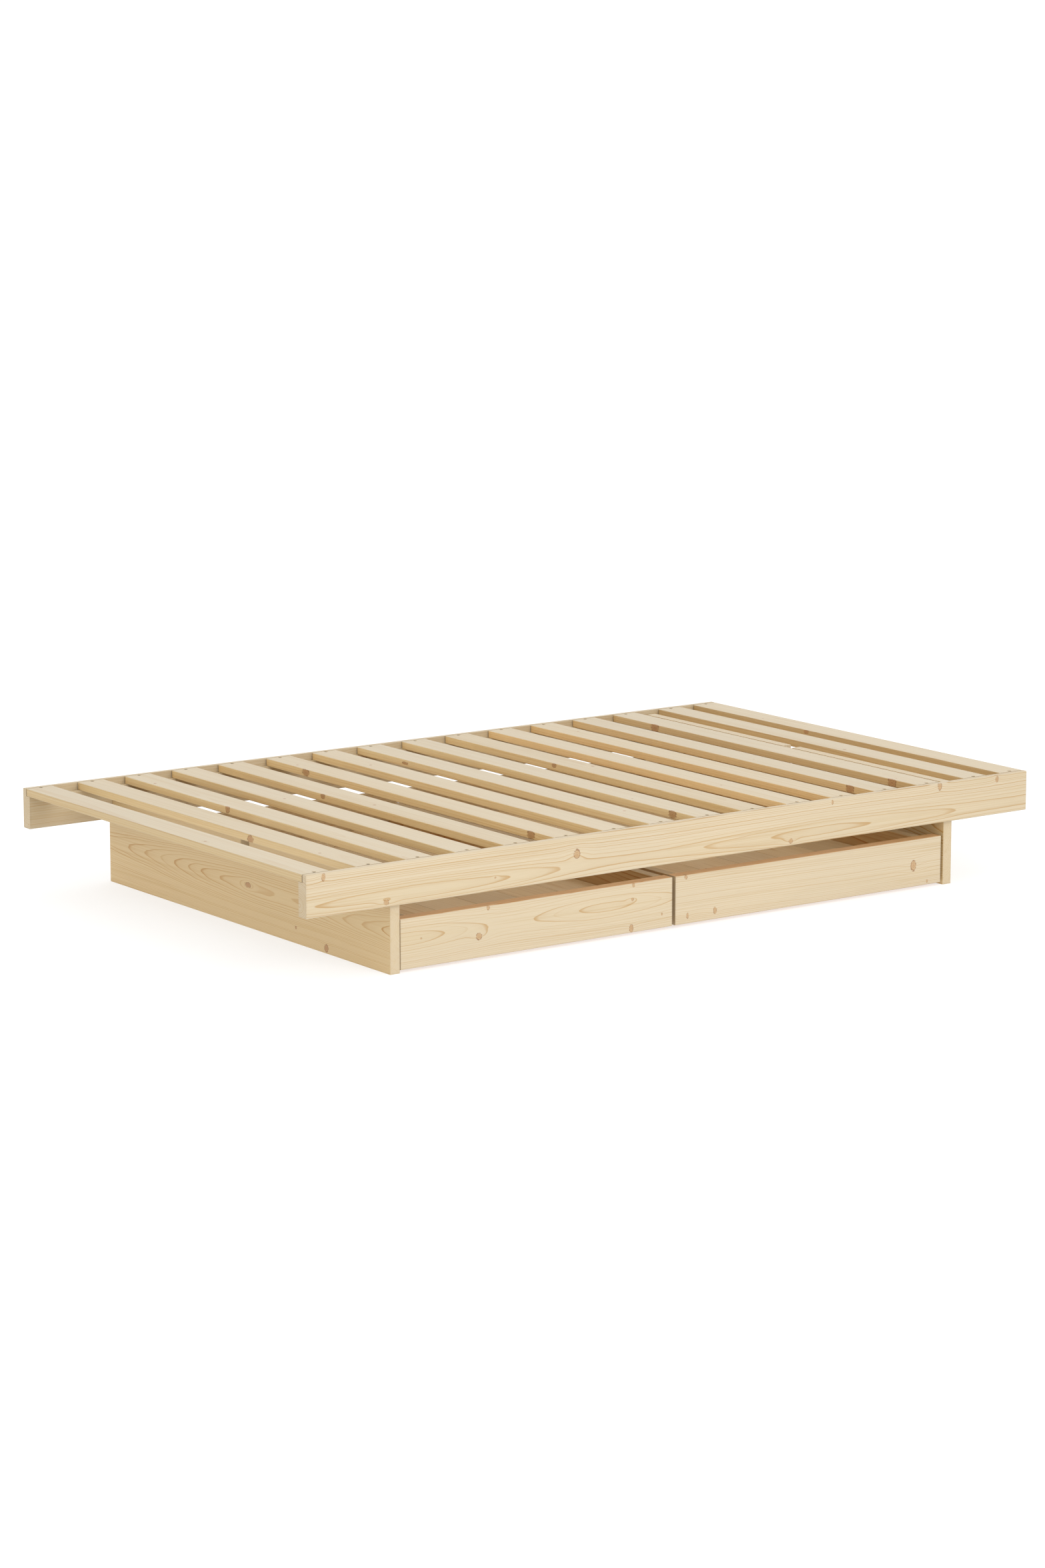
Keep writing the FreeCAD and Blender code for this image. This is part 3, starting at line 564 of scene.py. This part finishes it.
def metal(name, bright, dull, polish, nodes):
    """Plated steel: mottled zinc, with fine scratches in its roughness."""
    mottle_fineness, mottle_edge, mottle_rough = 420.0, (0.35, 0.65), 0.2
    scratch_fineness, scratch_rough = (3000.0, 3000.0, 300.0), 0.15
    material, graph, shader = new_material(name)
    spot = graph.node("ShaderNodeTexCoord").outputs["Object"]
    mottle = graph.noise(graph.vector("SCALE", spot, scale=mottle_fineness), detail=4.0, roughness=0.6)
    scratch = graph.noise(graph.vector("MULTIPLY", spot, scratch_fineness))
    graph.feed(shader.inputs["Base Color"], graph.mix(graph.rise(mottle, *mottle_edge), bright, dull))
    rough = graph.slope(mottle, mottle_rough, polish)
    graph.feed(shader.inputs["Roughness"], graph.slope(scratch, scratch_rough, rough))
    shader.inputs["Metallic"].default_value = 1.0
    graph.bump(shader, scratch, strength=0.2, distance=0.0001)
    for node in nodes:
        dress(node, material)


def plastic(name, clean, dusty, nodes):
    """Nylon with a fine moulded grain and a little dust."""
    grain_fineness, dust_fineness = 1800.0, 120.0
    dust_rough, smoothest = 0.2, 0.45
    material, graph, shader = new_material(name)
    spot = graph.node("ShaderNodeTexCoord").outputs["Object"]
    grain = graph.noise(graph.vector("SCALE", spot, scale=grain_fineness), detail=3.0)
    dust = graph.noise(graph.vector("SCALE", spot, scale=dust_fineness), detail=3.0)
    graph.feed(shader.inputs["Base Color"], graph.mix(dust, clean, dusty))
    graph.feed(shader.inputs["Roughness"], graph.slope(dust, dust_rough, smoothest))
    graph.bump(shader, grain, strength=0.3, distance=0.0001)
    for node in nodes:
        dress(node, material)


metal("screw_zinc", colour(120, 114, 104), colour(84, 79, 72), 0.35, (
    "slat_screws_front", "slat_screws_back", "bracket_screws", "left_drawer_screws",
    "right_drawer_screws",
))
metal("bracket_zinc", colour(190, 190, 186), colour(158, 158, 156), 0.25, ("corner_brackets",))
plastic("black_nylon", colour(38, 37, 36), colour(66, 63, 60), (
    "left_drawer_glides", "right_drawer_glides",
))


# ---------------------------------------------------------------- studio

def make_floor(width, glow):
    """A pale floor that glows a little, so that it is nearly as white as the room."""
    patch_fineness, grey, paler_grey = 0.7, colour(170, 170, 170), colour(174, 174, 174)
    bpy.ops.mesh.primitive_plane_add(size=width)
    floor = bpy.context.object
    floor.name = "studio_floor"
    material, graph, shader = new_material("studio_floor")
    spot = graph.node("ShaderNodeTexCoord").outputs["Object"]
    patches = graph.noise(graph.vector("SCALE", spot, scale=patch_fineness))
    graph.feed(shader.inputs["Base Color"], graph.mix(patches, grey, paler_grey))
    shader.inputs["Roughness"].default_value = 0.9
    shader.inputs["Specular IOR Level"].default_value = 0.0
    shader.inputs["Emission Color"].default_value = WHITE
    shader.inputs["Emission Strength"].default_value = glow
    floor.data.materials.append(material)


def make_light(name, place, target, wide, power):
    """A square soft light that points at its target."""
    lamp = bpy.data.lights.new(name, "AREA")
    lamp.shape = "SQUARE"
    lamp.size = wide
    lamp.energy = power
    light = bpy.data.objects.new(name, lamp)
    bpy.context.scene.collection.objects.link(light)
    light.location = place
    light.rotation_euler = (Vector(target) - Vector(place)).to_track_quat("-Z", "Y").to_euler()


def make_world(strength):
    """A white room, brighter overhead and at the horizon, whose left wall gives a warmer light."""
    wall_light = 0.75 * strength
    overhead_gain, overhead_start = 0.25 * strength, (0.2, 0.6)
    horizon_gain, horizon_end = 0.3 * strength, (0.06, 0.2)
    warm_white, warm_start = (1.0, 0.985, 0.94, 1.0), (0.0, 0.9)

    world = bpy.data.worlds.new("studio")
    world.use_nodes = True
    graph = Tree(world.node_tree)
    spot = graph.node("ShaderNodeTexCoord").outputs["Generated"]
    across, _, upward = graph.split(spot)
    leftward = graph.rise(graph.product(across, -1.0), *warm_start)
    glow = graph.slope(graph.rise(upward, *overhead_start), overhead_gain, wall_light)
    horizon = graph.product(graph.rest(graph.rise(upward, *horizon_end)), horizon_gain)
    back = world.node_tree.nodes["Background"]
    graph.feed(back.inputs["Color"], graph.mix(leftward, WHITE, warm_white))
    graph.feed(back.inputs["Strength"], graph.math("ADD", glow, horizon))
    bpy.context.scene.world = world


def make_camera(place, down, turned, focal_length):
    """A camera that looks `down` degrees below level, `turned` to the right of straight ahead."""
    lens = bpy.data.cameras.new("camera")
    lens.sensor_width = 36.0
    lens.lens = focal_length
    lens.clip_end = 500.0
    camera = bpy.data.objects.new("camera", lens)
    bpy.context.scene.collection.objects.link(camera)
    camera.location = place
    camera.rotation_euler = (math.radians(90.0 - down), 0.0, math.radians(-turned))
    bpy.context.scene.camera = camera


make_floor(width=1200.0, glow=0.62)
make_world(strength=1.2)
make_light("key", place=(-0.3, -3.8, 1.7), target=(-0.2, -0.5, 0.1), wide=2.0, power=46.0)
make_camera(place=(-5.7728, -7.9673, 2.1171), down=10.81, turned=35.82, focal_length=96.74)
bpy.context.scene.view_settings.view_transform = "Standard"
